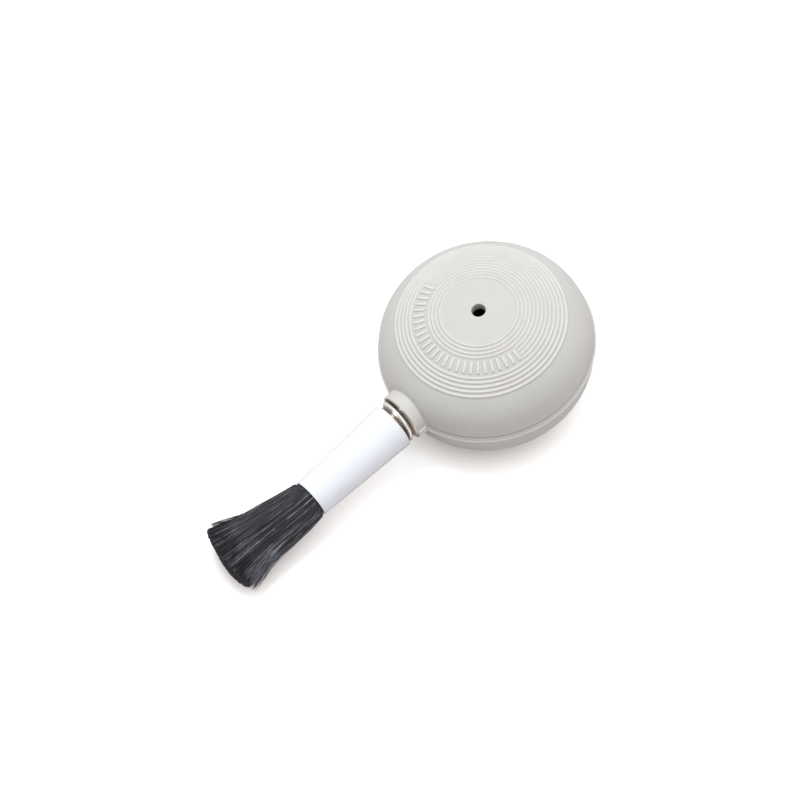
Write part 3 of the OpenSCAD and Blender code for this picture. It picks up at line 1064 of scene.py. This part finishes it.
def lean_of_floor(base):
    """Tilt and height of a floor that touches both the bulb and the lowest hairs, as the brush end
    sinks until the hair bears on what the bulb lies on."""
    halvings = 40
    hairs_pressed = 0.2
    layers = [o for o in bpy.data.objects if o.name.startswith("hair_layer")]
    base_points = read_points(base)
    hair_points = np.vstack([read_points(layer) for layer in layers])
    low, high = 0.0, math.radians(20)
    for _ in range(halvings):
        tilt = (low + high) / 2
        up = np.array([math.sin(tilt), 0, math.cos(tilt)])
        if np.percentile(hair_points @ up, hairs_pressed) > (base_points @ up).min():
            low = tilt
        else:
            high = tilt
    return tilt, (base_points @ up).min()


def paper_material():
    """Pale paper that glows only to the camera, with a painted contact shadow where something stands
    close over it.
    """
    material, nodes, links = new_material("pale_paper")
    shader = nodes["Principled BSDF"]
    noise = noise_at(nodes, links, nodes.new("ShaderNodeTexCoord"), 40, 3)
    tone = ramp(nodes, links, noise, ((0, PAPER_TONES[0]), (1, PAPER_TONES[1])))
    links.new(tone, shader.inputs["Base Color"])
    # Painted contact shadow: the glow darkens where something stands close over the paper
    open_above = nodes.new("ShaderNodeAmbientOcclusion")
    open_above.inputs["Distance"].default_value = CONTACT_SHADOW
    clear = map_value(nodes, links, open_above.outputs["AO"], (0.25, 0.80), (0, 1))
    glow = mix_colour(nodes, links, "MIX", clear, PAPER_SHADE, PAPER_LIT)
    path = nodes.new("ShaderNodeLightPath")
    seen = mix_colour(nodes, links, "MIX", path.outputs["Is Camera Ray"], (0, 0, 0), glow)
    links.new(seen, shader.inputs["Emission Color"])
    shader.inputs["Emission Strength"].default_value = FLOOR_GLOW
    shader.inputs["Roughness"].default_value = 0.9
    shader.inputs["Specular IOR Level"].default_value = 0.1
    return material


def floor(tilt, height):
    """The floor is tilted under the part, because the part itself stays level."""
    up = Vector((math.sin(tilt), 0, math.cos(tilt)))
    bpy.ops.object.select_all(action="DESELECT")
    bpy.ops.mesh.primitive_plane_add(size=FLOOR_SIZE, location=up * (height - FLOOR_GAP),
                                     rotation=(0, tilt, 0))
    plane = bpy.context.active_object
    plane.name = "studio_floor"
    plane.data.materials.append(paper_material())


def area_light(name, direction, distance, size, power):
    """A round soft light that shines on the middle of the part from the given direction."""
    data = bpy.data.lights.new(name, "AREA")
    data.shape = "DISK"
    data.size = size
    data.energy = power
    light = bpy.data.objects.new(name, data)
    towards = Vector(direction).normalized()
    light.location = Vector(LIGHT_AIM) + towards * distance
    light.rotation_mode = "QUATERNION"
    light.rotation_quaternion = (-towards).to_track_quat("-Z", "Y")
    bpy.context.scene.collection.objects.link(light)


def studio():
    """Soft white surroundings, a key light and a wide fill light."""
    world = bpy.data.worlds.new("studio_world")
    bpy.context.scene.world = world
    world.use_nodes = True
    background = world.node_tree.nodes["Background"]
    background.inputs["Color"].default_value = (1.0, 1.0, 1.0, 1)
    background.inputs["Strength"].default_value = WORLD_LIGHT
    area_light("key", direction=(0.18, 0.36, 1.2), distance=0.9, size=0.32, power=4.9)
    area_light("fill", direction=(0.65, -0.50, 0.8), distance=1.0, size=1.0, power=2.2)
    bpy.context.scene.view_settings.view_transform = "Standard"
    bpy.context.scene.view_settings.look = "None"


def camera():
    """A long lens, held by its azimuth, elevation and roll about the point that it looks at."""
    back = Vector((math.sin(CAM_AZIMUTH) * math.cos(CAM_ELEVATION),
                   -math.cos(CAM_AZIMUTH) * math.cos(CAM_ELEVATION), math.sin(CAM_ELEVATION)))
    level = Vector((math.cos(CAM_AZIMUTH), math.sin(CAM_AZIMUTH), 0))
    upright = back.cross(level)
    right = level * math.cos(CAM_ROLL) + upright * math.sin(CAM_ROLL)
    up = upright * math.cos(CAM_ROLL) - level * math.sin(CAM_ROLL)
    data = bpy.data.cameras.new("camera")
    data.lens = CAM_LENS
    data.sensor_width = 36
    data.clip_start = 0.01
    data.clip_end = 20
    eye = bpy.data.objects.new("camera", data)
    bpy.context.scene.collection.objects.link(eye)
    place = Matrix((right, up, back)).transposed().to_4x4()
    place.translation = CAM_AIM + back * CAM_DISTANCE
    eye.matrix_world = place
    bpy.context.scene.camera = eye


# ---------------------------------------------------------------- assembly

grain = grain_group()
rubber = rubber_material(grain)
base_piece = bulb_base(rubber)
bulb_crown(rubber)
grip_bars(rubber)
ferrule(nickel_material(grain))
barrel(plastic_material(grain))
hair_tuft(hair_material())
dress_hidden_pieces(grain)
floor(*lean_of_floor(base_piece))
studio()
camera()
